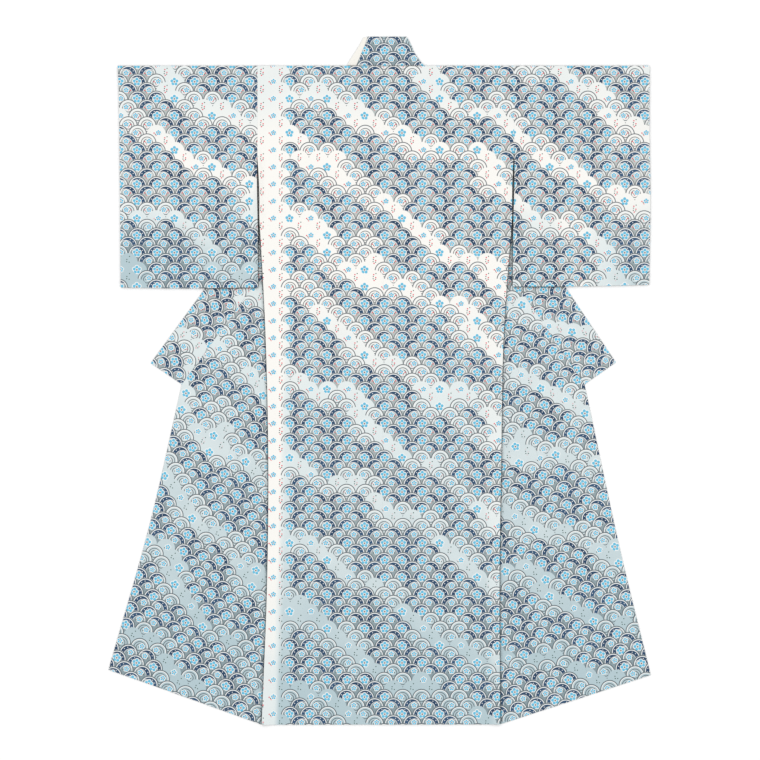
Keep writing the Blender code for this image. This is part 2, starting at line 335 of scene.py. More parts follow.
@dataclass
class Lay:
    """How the garment lies: the edges of its layers, its creases and its heights."""

    creases: list[Crease] = field(default_factory=list)
    rest: float = 0.00045  # the lowest cloth lies this far above the surface
    lift: float = 0.00035  # each layer lies looser by this
    swell: float = 0.00055
    swell_shares: Pair = (0.30, 0.35)  # of the lowest layer, and what each one above adds
    dip: float = -0.00042
    seam_width: float = 0.0017
    parting: float = 0.0017  # the top cloth is drawn back this far at a slit's middle
    parting_reach: float = 0.012
    edge_width: float = 0.011  # a raised edge runs out over this distance
    turned: list[Array] = field(default_factory=list)
    under: list[Array] = field(default_factory=list)
    edges: list[EdgeLine] = field(default_factory=list)

    def __post_init__(self) -> None:
        """Work out the outlines of the two lower layers, and the seams and edges."""
        centre = edge(Side.LEFT, "centre_neck", "centre_hem")
        self.edges.append(EdgeLine(centre, (Level.TOP,), self.seam_width, self.dip))
        for side in Side:
            slanting = np.array([self.meeting(side), landmark(side, "fold_top")])
            self.turned.append(np.vstack([
                landmark(side, "side_hem"), slanting,
                corners(side, "free_top", "collar_tip", "collar_end", "edge_middle",
                        "front_corner"),
            ]))
            self.under.append(chain(self.side_line(side), slanting,
                                    corners(side, "armhole_top", "armhole_end")))
            self.under.append(chain(*self.sleeve_sides(side)))
            self.add_edges(side)

    def add_edges(self, side: Side) -> None:
        """List one side's seams, which dip, and its loose edges, which stand up."""
        step, seam, dip = self.edge_width, self.seam_width, self.dip
        low, high, both = (Level.TURNED,), (Level.TOP,), UPPER_TWO
        outer, bottom, _ = self.sleeve_sides(side)
        body_side = edge(side, "slit_end", "waist", "hip", "knee", "side_hem")
        self.edges += [
            EdgeLine(edge(side, "armhole_top", "armhole_end"), both, seam, dip),
            EdgeLine(edge(side, "overlap_point", "seam_at_hem"), low, seam, dip),
            EdgeLine(self.collar_seam(side), low, seam, dip),
            EdgeLine(body_side, both, step, 0.0024, 0.7),
            EdgeLine(bottom, both, step, 0.0017, 0.6),
            EdgeLine(edge(side, "pouch_inner", "armhole_end"), both, 0.8 * step, 0.0012, 0.6),
            EdgeLine(outer, both, step, 0.0008, 0.8),
            EdgeLine(edge(side, "side_hem", "centre_hem"), high, step, 0.0009, 0.8),
        ]

    @staticmethod
    def meeting(side: Side) -> Array:
        """Give the point where the collar's seam meets the slanting fold."""
        fold_top = landmark(side, "fold_top")
        fold = landmark(side, "side_hem") - fold_top
        share = ((landmark(side, "seam_at_fold") - fold_top) @ fold) / (fold @ fold)
        return fold_top + fold * share

    @staticmethod
    def collar_seam(side: Side) -> Array:
        """Give the corners of the seam between the collar and a front, from the top down."""
        return np.vstack([Lay.meeting(side), corners(side, "overlap_point", "collar_end")])

    @staticmethod
    def side_line(side: Side) -> Array:
        """Draw the body's side from the armhole's top to the hem."""
        return chain(
            edge(side, "armhole_top", "armhole_end"),
            edge(side, "armhole_end", "slit_middle", "slit_end"),
            edge(side, "slit_end", "waist", "hip", "knee", "side_hem"),
        )

    @staticmethod
    def sleeve_sides(side: Side) -> tuple[Array, Array, Array]:
        """Draw a sleeve's outer end, its bottom and its inner side."""
        outer = edge(side, "cuff_top", "cuff_upper", "cuff_middle", "cuff_bottom")
        bottom = edge(side, "cuff_bottom", "pouch_bottom", "pouch_inner")
        inner = chain(edge(side, "pouch_inner", "armhole_end"),
                      edge(side, "armhole_end", "armhole_top"))
        return outer, bottom, inner

    def parted(self, points: Array, level: Level) -> Array:
        """Draw the upper cloth back from the slits, and the cloth under it together."""
        if level is Level.TURNED:
            return points
        points = points.copy()
        for side in Side:
            slit = edge(side, "armhole_end", "slit_middle", "slit_end")[::-1]
            run = (points[:, 1] - slit[0, 1]) / (slit[-1, 1] - slit[0, 1])
            middle = np.interp(points[:, 1], slit[:, 1], slit[:, 0])
            near = np.exp(-np.abs(points[:, 0] - middle) / self.parting_reach)
            way = np.sign(points[:, 0].mean() - slit[:, 0].mean())
            if level is Level.TOP:
                pull = self.parting * np.sin(np.pi * np.clip(run, 0.0, 1.0))
            else:
                pull = -CLOSING[side] * np.interp(run, (-0.5, 0.0, 1.0), (0.0, 1.0, 0.0))
            points[:, 0] += way * pull * near
        return points

    @staticmethod
    def raised(points: Array, outlines: Sequence[Array]) -> Array:
        """Give the share by which some outlines raise the cloth above plan points."""
        share = np.zeros(len(points))
        for outline in outlines:
            away = 1.0 - distance_to(points, outline, closed=True) / FALL
            share = np.maximum(share, np.where(inside(points, outline), 1.0, away))
        return smooth_step(share)

    @staticmethod
    def swelling(points: Array) -> Array:
        """Give the gentle unevenness of cloth that lies unstretched, from 0 to 1."""
        x, y = points.T
        waves = (
            np.sin(31.0 * x + 9.0 * y + 0.6) * np.sin(13.0 * y - 4.0 * x)
            + 0.7 * np.sin(52.0 * x - 17.0 * y + 2.1) * np.sin(8.0 * x + 21.0 * y + 1.3)
            + 0.5 * np.sin(19.0 * x + 41.0 * y + 4.0)
        )
        return 0.5 + 0.23 * waves

    def height(self, points: Array, level: Level) -> Array:
        """Give the height of the middle of a leaf.

        Args:
            points: Plan points, one in a row.
            level: The layer that the leaf lies in.

        Returns:
            The height at each point.
        """
        height = np.full(len(points), CLOTH / 2 + self.rest)
        if level.value > 0:
            height += PITCH * self.raised(points, self.turned)
        if level.value > 1:
            height += PITCH * self.raised(points, self.under)
        height += level.value * self.lift
        share = self.swell_shares[0] + self.swell_shares[1] * level.value
        height += share * self.swell * self.swelling(points)
        for crease in self.creases:
            if crease.lowest.value <= level.value:
                height += crease.relief(points)
        for line in self.edges:
            if level in line.levels:
                height += line.relief(points)
        return np.maximum(height, SHELL / 2 + CLEARANCE)


# Sheets


@dataclass
class Rail:
    """One side of a leaf: a line, and which share of the way each marked point has."""

    line: Array
    marks: Sequence[tuple[float, int]] = ()

    def at(self, share: Array) -> Array:
        """Give the plan points at shares of the way along."""
        steps = np.hypot(*np.diff(self.line, axis=0).T)
        length = np.concatenate([[0.0], np.cumsum(steps)])
        if length[-1] == 0.0:
            return np.repeat(self.line[:1], len(share), axis=0)
        length /= length[-1]
        if self.marks:
            shares = [0.0] + [mark[0] for mark in self.marks] + [1.0]
            places = [0.0] + [length[mark[1]] for mark in self.marks] + [1.0]
            share = np.interp(share, shares, places)
        return np.stack([np.interp(share, length, axis) for axis in self.line.T], axis=1)


@dataclass
class Leaf:
    """A grid of cloth stretched between four rails."""

    bottom: Rail
    top: Rail
    left: Rail
    right: Rail
    across: Array
    upward: Array
    level: Level
    face_up: bool = True

    def plan(self, u: Array, v: Array) -> Array:
        """Give plan points inside the four rails, by blending them."""
        low, high = self.bottom.at(u), self.top.at(u)
        near, far = self.left.at(v), self.right.at(v)
        ends = [rail.at(np.array((0.0, 1.0))) for rail in (self.bottom, self.top)]
        u, v = u[:, None], v[:, None]
        shared = ((1 - u) * (1 - v) * ends[0][0] + u * (1 - v) * ends[0][1]
                  + (1 - u) * v * ends[1][0] + u * v * ends[1][1])
        return (1 - v) * low + v * high + (1 - u) * near + u * far - shared


@dataclass
class Grain:
    """How the print and the dye lie on a leaf."""

    origin: Pair = (CENTRE_X, SHOULDER_Y)
    angle: float = 0.0
    dye: Callable[[Array], Array] = lambda points: np.zeros(len(points))

    def coordinates(self, points: Array) -> Array:
        """Turn plan points into distances across and along the cloth."""
        x, y = (points - np.array(self.origin)).T
        cosine, sine = math.cos(self.angle), math.sin(self.angle)
        return np.stack([cosine * x + sine * y, cosine * y - sine * x], axis=1)


def rails(*lines: Array) -> list[Rail]:
    """Make a rail of each line."""
    return [Rail(line) for line in lines]


def slant(top: Array, foot: Array) -> float:
    """Give the turn that lays the print's length on the way from one point to another."""
    across, up = foot - top
    return math.atan2(across, -up)


def make_object(name: str, mesh: BMesh, *materials: Material
                ) -> Object:
    """Turn a mesh into a smooth object of the scene.

    Args:
        name: The object's name.
        mesh: The mesh, which is freed.
        materials: The object's materials in order.

    Returns:
        The object, at the origin.
    """
    for face in mesh.faces:
        face.smooth = True
    data = bpy.data.meshes.new(name)
    mesh.to_mesh(data)
    mesh.free()
    for material in materials:
        data.materials.append(material)
    obj = bpy.data.objects.new(name, data)
    bpy.context.scene.collection.objects.link(obj)
    return obj


class Cloth:
    """One sewn piece in the making: its leaves, folds and seams in one mesh."""

    def __init__(self, name: str, lay: Lay) -> None:
        """Start an empty piece.

        Args:
            name: The name of its object.
            lay: How the garment lies.
        """
        self.name = name
        self.lay = lay
        self.mesh = bmesh.new()
        self.grain = self.mesh.loops.layers.uv.new("grain")
        # the dye attribute also carries the painted shade near the shoulder fold
        self.dye = self.mesh.verts.layers.float.new("dye")

    def grid(self, across: Array, upward: Array
             ) -> tuple[list[BMVert], Array, Array]:
        """Add a flat grid and give its vertices with their shares across and up."""
        columns, rows = len(across) - 1, len(upward) - 1
        made = bmesh.ops.create_grid(self.mesh, x_segments=columns, y_segments=rows, size=0.5)
        verts = made["verts"]
        cell = np.array([vert.co[:2] for vert in verts]) + 0.5
        u = across[np.round(cell[:, 0] * columns).astype(int)]
        v = upward[np.round(cell[:, 1] * rows).astype(int)]
        return verts, u, v

    def fill(self, verts: list[BMVert], places: Array,
             grain: Grain) -> None:
        """Move a grid's vertices into place and note their grain and dye."""
        lines = grain.coordinates(places[:, :2])
        dyes = grain.dye(places[:, :2])
        for vert, point, line, dye in zip(verts, places, lines, dyes):
            vert.co = point
            vert[self.dye] = dye
            for loop in vert.link_loops:
                loop[self.grain].uv = line

    def face(self, verts: list[BMVert], towards: Vector) -> None:
        """Turn a grid's faces to look one way."""
        faces = list({face for vert in verts for face in vert.link_faces})
        for item in faces:
            item.normal_update()
        total = sum((item.normal * item.calc_area() for item in faces), Vector())
        if total.dot(towards) < 0:
            bmesh.ops.reverse_faces(self.mesh, faces=faces)

    def leaf(self, leaf: Leaf, grain: Grain) -> None:
        """Add a leaf of cloth at its height."""
        verts, u, v = self.grid(leaf.across, leaf.upward)
        points = self.lay.parted(leaf.plan(u, v), leaf.level)
        height = self.lay.height(points, leaf.level)
        self.fill(verts, np.column_stack([points, height]), grain)
        self.face(verts, Vector((0.0, 0.0, 1.0 if leaf.face_up else -1.0)))

    def join(self, rail: Rail, shares: Array, outward: Sequence[float],
             levels: tuple[Level, Level], grain: Grain, steps: int = 1) -> None:
        """Join the edges of two leaves by a round fold, or by a flat seam of one step.

        Args:
            rail: The edge that both leaves share in the plan.
            shares: Where its grid lines are.
            outward: The way in which the join faces, in the plan.
            levels: The lower and the upper leaf.
            grain: How the print lies.
            steps: Grid cells round the fold.
        """
        verts, u, v = self.grid(shares, np.linspace(0.0, 1.0, steps + 1))
        points = rail.at(u)
        low = self.lay.height(points, levels[0])
        high = self.lay.height(points, levels[1])
        turn = math.pi * v
        reach = (high - low) / 2
        bulge = reach * np.sin(turn) * (steps > 1)
        bulged = points + bulge[:, None] * np.array(outward)
        height = (high + low) / 2 - reach * np.cos(turn)
        self.fill(verts, np.column_stack([bulged, height]), grain)
        self.face(verts, Vector((*outward, 0.0)))

    def finish(self, outer: Material, inner: Material) -> Object:
        """Close the piece into an object with a thickness and soft rims.

        Args:
            outer: The finish of the right side.
            inner: The finish of the wrong side.

        Returns:
            The object, at the origin.
        """
        bmesh.ops.remove_doubles(self.mesh, verts=self.mesh.verts, dist=WELD)
        bmesh.ops.dissolve_degenerate(self.mesh, edges=self.mesh.edges, dist=TINY)
        obj = make_object(self.name, self.mesh, outer, inner)
        shell = obj.modifiers.new("thickness", "SOLIDIFY")
        shell.thickness, shell.offset = SHELL, 0.0
        shell.material_offset, shell.material_offset_rim = 1, 0
        rim = obj.modifiers.new("soft_rim", "BEVEL")
        rim.width, rim.segments = SHELL * RIM_SHARE, 2
        rim.limit_method, rim.angle_limit = "ANGLE", RIM_ANGLE
        return obj


# Finishes


def start_material(name: str, inputs: dict[str, object]
                   ) -> tuple[Material, Chain, Node]:
    """Start a material.

    Args:
        name: Its name.
        inputs: What its shader's inputs are given.

    Returns:
        The material, the chain of its nodes and its shader.
    """
    material = bpy.data.materials.new(name)
    material.use_nodes = True
    shader = material.node_tree.nodes["Principled BSDF"]
    for label, value in inputs.items():
        shader.inputs[label].default_value = value
    return material, Chain(material.node_tree), shader


def colour(red: int, green: int, blue: int) -> tuple[float, float, float, float]:
    """Turn a display colour of 0 to 255 into linear values with an alpha of 1."""
    parts = [channel / 255 for channel in (red, green, blue)]
    linear = [p / 12.92 if p <= 0.04045 else ((p + 0.055) / 1.055) ** 2.4 for p in parts]
    return (linear[0], linear[1], linear[2], 1.0)


class Chain:
    """Short calls for the nodes of one tree."""

    def __init__(self, tree: NodeTree) -> None:
        """Hold the tree that nodes are added to."""
        self.tree = tree

    def node(self, kind: str, inputs: dict[str, object] | None = None,
             **settings: object) -> Node:
        """Add a node, set its properties, and link or fill its inputs."""
        node = self.tree.nodes.new(kind)
        for name, value in settings.items():
            setattr(node, name, value)
        for name, value in (inputs or {}).items():
            self.set(node.inputs[name], value)
        return node

    def set(self, socket: Socket, value: object) -> None:
        """Link a socket to another, or give it a number, vector or colour."""
        if isinstance(value, Socket):
            self.tree.links.new(value, socket)
        else:
            socket.default_value = value

    def group(self, tree: NodeTree, **inputs: object
              ) -> bpy.types.bpy_prop_collection:
        """Add a group, link or fill its inputs and give its outputs."""
        return self.node("ShaderNodeGroup", inputs, node_tree=tree).outputs

    def noise(self, where: Socket, scale: float, detail: float = 2.0, flat: bool = True
              ) -> Socket:
        """Add a noise in the plane or in space and give its value."""
        return self.node("ShaderNodeTexNoise",
                         {"Vector": where, "Scale": scale, "Detail": detail},
                         noise_dimensions="2D" if flat else "3D").outputs["Fac"]

    def math(self, operation: str, *values: object) -> Socket:
        """Add a Math node and give its result."""
        node = self.node("ShaderNodeMath", operation=operation)
        for socket, value in zip(node.inputs, values):
            self.set(socket, value)
        return node.outputs[0]

    def mix(self, factor: object, first: object, second: object) -> Socket:
        """Mix two colours and give the result."""
        node = self.node("ShaderNodeMix", {"Factor": factor}, data_type="RGBA")
        sockets = [socket for socket in node.inputs if socket.type == "RGBA"]
        self.set(sockets[0], first)
        self.set(sockets[1], second)
        return next(out for out in node.outputs if out.type == "RGBA")

    def pick(self, factor: object, first: object, second: object) -> Socket:
        """Blend two numbers and give the result."""
        return self.node("ShaderNodeMix", {"Factor": factor, "A": first, "B": second},
                         data_type="FLOAT").outputs["Result"]

    def step(self, value: object, low: float, high: float) -> Socket:
        """Rise softly from 0 to 1 as a value goes from low to high, or fall if low is above."""
        return self.node("ShaderNodeMapRange", {
            "Value": value, "From Min": min(low, high), "From Max": max(low, high),
            "To Min": float(low > high), "To Max": float(low < high),
        }, interpolation_type="SMOOTHSTEP").outputs["Result"]

    def distance(self, x: object, y: object, centre: Pair = (0.0, 0.0)) -> Socket:
        """Measure how far a place is from a centre."""
        across = self.math("SUBTRACT", x, centre[0])
        up = self.math("SUBTRACT", y, centre[1])
        square = self.math("MULTIPLY_ADD", across, across, self.math("MULTIPLY", up, up))
        return self.math("SQRT", square)

    def is_odd(self, number: object) -> Socket:
        """Give 1 for an odd whole number and 0 for an even one."""
        return self.math("ABSOLUTE", self.math("MODULO", number, 2.0))

    def without(self, mask: object) -> Socket:
        """Turn a mask round."""
        return self.math("SUBTRACT", 1.0, mask)

    def both(self, *masks: object) -> Socket:
        """Multiply masks."""
        return reduce(partial(self.math, "MULTIPLY"), masks)

    def either(self, *masks: object) -> Socket:
        """Give the largest of some masks."""
        return reduce(partial(self.math, "MAXIMUM"), masks)


class Group:
    """A shader node group in the making."""

    def __init__(self, name: str, inputs: Sequence[tuple[str, str]],
                 outputs: Sequence[tuple[str, str]]) -> None:
        """Start the group.

        Args:
            name: The group's name.
            inputs: Name and socket type of each input.
            outputs: Name and socket type of each output.
        """
        self.tree = bpy.data.node_groups.new(name, "ShaderNodeTree")
        for label, kind in inputs:
            self.tree.interface.new_socket(label, in_out="INPUT", socket_type=kind)
        for label, kind in outputs:
            self.tree.interface.new_socket(label, in_out="OUTPUT", socket_type=kind)
        self.nodes = Chain(self.tree)
        self.given = self.nodes.node("NodeGroupInput").outputs
        self.result = self.nodes.node("NodeGroupOutput").inputs

    def give(self, label: str, value: object) -> None:
        """Set one of the group's outputs."""
        self.nodes.set(self.result[label], value)


@dataclass(frozen=True)
class Flower:
    """A flower of five round petals. Its middle and radius are measured in the scale's radius."""

    centre: Pair
    size: float

    def masks(self, c: Chain, x: Socket, y: Socket) -> tuple[Socket, Socket, Socket]:
        """Give the masks of the petals, of the white round them, and of the heart."""
        size, fifth = self.size, 2 * math.pi / 5
        across = c.math("SUBTRACT", x, self.centre[0])
        up = c.math("SUBTRACT", y, self.centre[1])
        away = c.distance(across, up)
        turn = c.math("ADD", c.math("ARCTAN2", across, up), fifth / 2)
        aside = c.math("SUBTRACT", c.math("FLOORED_MODULO", turn, fifth), fifth / 2)
        middle, petal = 0.62 * size, 0.37 * size
        square = c.math("MULTIPLY_ADD", away, away, middle * middle)
        shadow = c.math("MULTIPLY", c.math("MULTIPLY", away, c.math("COSINE", aside)),
                        2 * middle)
        reach = c.math("SQRT", c.math("MAXIMUM", c.math("SUBTRACT", square, shadow), 0.0))
        petals = c.both(c.step(reach, petal, 0.32 * size),
                        c.step(away, 0.30 * size, 0.36 * size))
        halo = c.either(c.step(reach, petal + 0.09, petal + 0.05),
                        c.step(away, middle, 0.56 * size))
        return petals, halo, c.step(away, 0.23 * size, 0.17 * size)


@dataclass(frozen=True)
class Dots:
    """Small round dots in a scale, placed and measured in its radius."""

    size: float
    centres: tuple[Pair, ...]

    def mask(self, c: Chain, x: Socket, y: Socket) -> Socket:
        """Give the dots' mask."""
        return c.either(*[c.step(c.distance(x, y, centre), 1.2 * self.size, 0.8 * self.size)
                          for centre in self.centres])


@dataclass(frozen=True)
class WavePrint:
    """A small traditional repeat: wave scales in half-drop rows, with plum flowers.

    The scales stand close together in slanting banks. Between the banks the ground is bare
    but for loose flowers and dots. Places inside a scale are measured in its radius.
    """

    radius: float = 0.0225
    pitch: float = 0.0205
    bank_repeat: float = 0.185
    bank_slant: float = 0.62
    bank_drift: Pair = (6.0, 7.0)  # scale of the noise that bends the banks, and its strength
    light_from: float = 0.11  # pale scales above this density of the print
    dense_from: float = 0.40  # full scales above this one
    # soft edges, each from where a mask is 0 to where it is 1
    fill_edge: Pair = (0.82, 0.79)
    outline_edge: Pair = (0.88, 0.91)
    rim_edges: tuple[Pair, ...] = ((0.79, 0.82), (0.90, 0.88))
    ring_edges: tuple[tuple[Pair, Pair], ...] = (((0.55, 0.58), (0.67, 0.64)),
                                                 ((0.31, 0.34), (0.43, 0.40)))
    crescent: Pair = (0.27, -0.19)  # middle of the circle that cuts the navy crescent
    crescent_edge: Pair = (0.69, 0.72)
    crescent_rim: Pair = (0.77, 0.74)
    blossom: Flower = Flower((0.08, 0.12), 0.46)
    bud: Flower = Flower((0.22, 0.16), 0.29)
    kanoko: Dots = Dots(0.05, ((-0.22, 0.60), (-0.53, 0.37), (-0.64, 0.02)))
    spray: Dots = Dots(0.075, ((-0.10, 0.52), (0.12, 0.20), (-0.06, -0.10)))
    leaves: Dots = Dots(0.06, ((0.14, 0.64), (-0.14, 0.32), (0.10, 0.02), (-0.16, 0.08)))
    bud_spray: Dots = Dots(0.075, ((-0.24, 0.12), (-0.02, -0.12)))
    bud_leaves: Dots = Dots(0.065, ((-0.10, 0.00), (0.46, 0.04)))

    def row(self, c: Chain, u: Socket, v: Socket, number: Socket) -> tuple[Socket, ...]:
        """Find the nearest scale in one row.

        Args:
            c: The node tree.
            u: Distance across the cloth.
            v: Distance along the cloth.
            number: The row's number.

        Returns:
            Place across and along in the scale, its distance, and its column.
        """
        shifted = c.math("MULTIPLY_ADD", c.is_odd(number), self.radius, u)
        share = c.math("DIVIDE", shifted, 2 * self.radius)
        column = c.math("ROUND", share)
        aside = c.math("MULTIPLY", c.math("SUBTRACT", share, column), 2.0)
        rise = c.math("SUBTRACT", v, c.math("MULTIPLY", number, self.pitch))
        rise = c.math("DIVIDE", rise, self.radius)
        return aside, rise, c.distance(aside, rise), column

    def bank(self, c: Chain, column: Socket, row: Socket, plain: Socket) -> Socket:
        """Tell how dense the print is at a scale, from 0 to 1."""
        along = c.math("MULTIPLY", row, self.pitch)
        across = c.math("MULTIPLY_ADD", c.is_odd(row), -0.5, column)
        across = c.math("MULTIPLY", across, 2 * self.radius)
        centre = c.node("ShaderNodeCombineXYZ", {"X": across, "Y": along})
        drift = c.noise(centre.outputs[0], self.bank_drift[0], detail=1.0)
        slanting = c.math("MULTIPLY_ADD", across, self.bank_slant, along)
        turn = c.math("MULTIPLY", slanting, 2 * math.pi / self.bank_repeat)
        turn = c.math("MULTIPLY_ADD", drift, self.bank_drift[1], turn)
        printed = c.math("GREATER_THAN", c.math("ADD", across, plain), 0.0)
        return c.both(c.math("MULTIPLY_ADD", c.math("SINE", turn), 0.5, 0.5), printed)

    def build(self) -> NodeTree:
        """Build the group that turns the grain into the masks of the print."""
        names = ("Fill", "Lines", "White", "Deep", "Petals", "Hearts", "Coral", "Green")
        group = Group("wave_scale_masks",
                      [("Grain", "NodeSocketVector"), ("Plain", "NodeSocketFloat")],
                      [(name, "NodeSocketFloat") for name in names])
        c = group.nodes
        parts = c.node("ShaderNodeSeparateXYZ", {"Vector": group.given["Grain"]})
        u, v = parts.outputs["X"], parts.outputs["Y"]
        first = c.math("CEIL", c.math("DIVIDE", c.math("SUBTRACT", v, self.radius), self.pitch))
        second = c.math("ADD", first, 1.0)
        near, behind = self.row(c, u, v, first), self.row(c, u, v, second)
        owned = c.math("LESS_THAN", near[2], 1.0)
        x, y, away, column = (c.pick(owned, back, front)
                              for front, back in zip(near, behind))
        row = c.pick(owned, second, first)

        bank = self.bank(c, column, row, group.given["Plain"])
        dense = c.math("GREATER_THAN", bank, self.dense_from)
        light = c.both(c.math("GREATER_THAN", bank, self.light_from), c.without(dense))
        drawn = c.either(dense, light)
        bare = c.without(drawn)
        odd_row, odd_column = c.is_odd(row), c.is_odd(column)
        turned = c.math("MULTIPLY", x, c.math("MULTIPLY_ADD", odd_column, -2.0, 1.0))

        body = c.step(away, *self.fill_edge)
        ring = c.either(*[c.both(*[c.step(away, *soft) for soft in edges])
                          for edges in self.ring_edges])
        lines = c.either(c.both(drawn, c.step(away, *self.outline_edge)), c.both(light, ring))
        rim = c.both(drawn, *[c.step(away, *soft) for soft in self.rim_edges])
        cut = c.distance(turned, y, self.crescent)
        crescent = c.both(dense, body, c.step(cut, *self.crescent_edge))
        crescent_rim = c.step(cut, *self.crescent_rim)
        kanoko = self.kanoko.mask(c, turned, y)

        even_row = c.without(odd_row)
        with_blossom = c.both(even_row, c.either(dense, c.both(bare, odd_column)))
        with_bud = c.either(c.both(odd_row, dense), light,
                            c.both(bare, even_row, c.without(odd_column)))
        with_spray = c.both(bare, odd_row)
        petals, halo, hearts = (
            c.either(c.both(one, with_blossom), c.both(other, with_bud))
            for one, other in zip(self.blossom.masks(c, turned, y), self.bud.masks(c, turned, y)))
        coral, green = (
            c.either(c.both(with_spray, one.mask(c, x, y)),
                     c.both(with_bud, other.mask(c, turned, y)))
            for one, other in ((self.spray, self.bud_spray), (self.leaves, self.bud_leaves)))
        rest = c.without(halo)
        masks = (c.both(body, dense), c.both(lines, rest),
                 c.either(halo, rim, c.both(crescent, c.either(crescent_rim, kanoko))),
                 c.both(crescent, c.without(crescent_rim), rest, c.without(kanoko)),
                 petals, hearts, c.both(coral, rest), c.both(green, rest))
        for name, mask in zip(names, masks):
            group.give(name, mask)
        return group.tree


@dataclass(frozen=True)
class SilkDyes:
    """The colours of the ground and of the print, of the lining and the thread, and of the
    painted shade.
    """

    ivory: Tone = colour(240, 238, 233)
    mist: Tone = colour(218, 226, 226)
    blue_grey: Tone = colour(174, 194, 200)
    slate_fill: Tone = colour(163, 171, 169)
    deep_fill: Tone = colour(130, 147, 153)
    slate_line: Tone = colour(68, 79, 86)
    white: Tone = colour(238, 238, 236)
    navy: Tone = colour(32, 63, 93)
    faded_navy: Tone = colour(48, 82, 114)
    sky: Tone = colour(100, 184, 214)
    brown: Tone = colour(142, 115, 102)
    coral: Tone = colour(219, 86, 99)
    pine: Tone = colour(52, 84, 72)
    lining: Tone = colour(238, 234, 226)
    thread: Tone = colour(216, 222, 223)
    # the colour of the painted shade under edges and in the slits
    nook: Tone = colour(26, 34, 38)


def weave_group() -> NodeTree:
    """Build the group that gives the crepe's height and its uneven gloss."""
    group = Group("crepe_weave", [("Grain", "NodeSocketVector")],
                  [("Height", "NodeSocketFloat"), ("Slub", "NodeSocketFloat")])
    c = group.nodes
    crimp = c.noise(group.given["Grain"], 1500.0)
    stretch = c.node("ShaderNodeMapping", {"Vector": group.given["Grain"],
                                           "Scale": (900.0, 60.0, 1.0)})
    thread = c.noise(stretch.outputs[0], 1.0, detail=1.0)
    group.give("Height", c.math("MULTIPLY_ADD", crimp, 0.7, c.math("MULTIPLY", thread, 0.3)))
    group.give("Slub", thread)
    return group.tree


def painted_shade_group() -> NodeTree:
    """Build the group of painted shade: it marks cloth close under an edge or deep in a slit,
    where the ambient occlusion is low, for darkening.
    """
    group = Group("painted_shade_in_nooks", [], [("Nook", "NodeSocketFloat")])
    c = group.nodes
    # painted shade: low ambient occlusion darkens the base colour
    open_sky = c.node("ShaderNodeAmbientOcclusion", {"Distance": 0.010}, samples=6)
    group.give("Nook", c.step(open_sky.outputs["AO"], 0.92, 0.52))
    return group.tree


def dyed_group(dyes: SilkDyes, masks_tree: NodeTree) -> NodeTree:
    """Build the group that colours the silk: a shaded ground with the print on it.

    Args:
        dyes: The colours.
        masks_tree: The group of the print's masks.

    Returns:
        The group.
    """
    group = Group("dyed_silk", [("Grain", "NodeSocketVector"), ("Dye", "NodeSocketFloat"),
                                ("Plain", "NodeSocketFloat")], [("Color", "NodeSocketColor")])
    c = group.nodes
    grain, dye, plain = (group.given[name] for name in ("Grain", "Dye", "Plain"))
    masks = c.group(masks_tree, Grain=grain, Plain=plain)
    cloud = c.noise(grain, 9.0)
    soft = c.math("MULTIPLY_ADD", c.math("SUBTRACT", cloud, 0.5), 0.22, dye)
    ground = c.mix(c.step(soft, 0.02, 0.50), dyes.ivory, dyes.mist)
    tone = c.mix(c.step(soft, 0.42, 1.0), ground, dyes.blue_grey)
    shaded = c.math("MULTIPLY_ADD", dye, 0.18, 0.78)
    coats = (
        (c.both(masks["Fill"], shaded),
         c.mix(c.step(dye, 0.25, 0.80), dyes.slate_fill, dyes.deep_fill)),
        (c.math("MULTIPLY", masks["White"], 0.92), dyes.white),
        (c.math("MULTIPLY", masks["Lines"], 0.85), dyes.slate_line),
        (masks["Deep"], c.mix(c.step(cloud, 0.35, 0.65), dyes.navy, dyes.faded_navy)),
        (masks["Petals"], dyes.sky),
        (masks["Hearts"], dyes.brown),
        (c.both(masks["Coral"], c.step(soft, 0.75, 0.35)), dyes.coral),
        (masks["Green"], dyes.pine),
    )
    for mask, dyed in coats:
        tone = c.mix(mask, tone, dyed)
    group.give("Color", tone)
    return group.tree


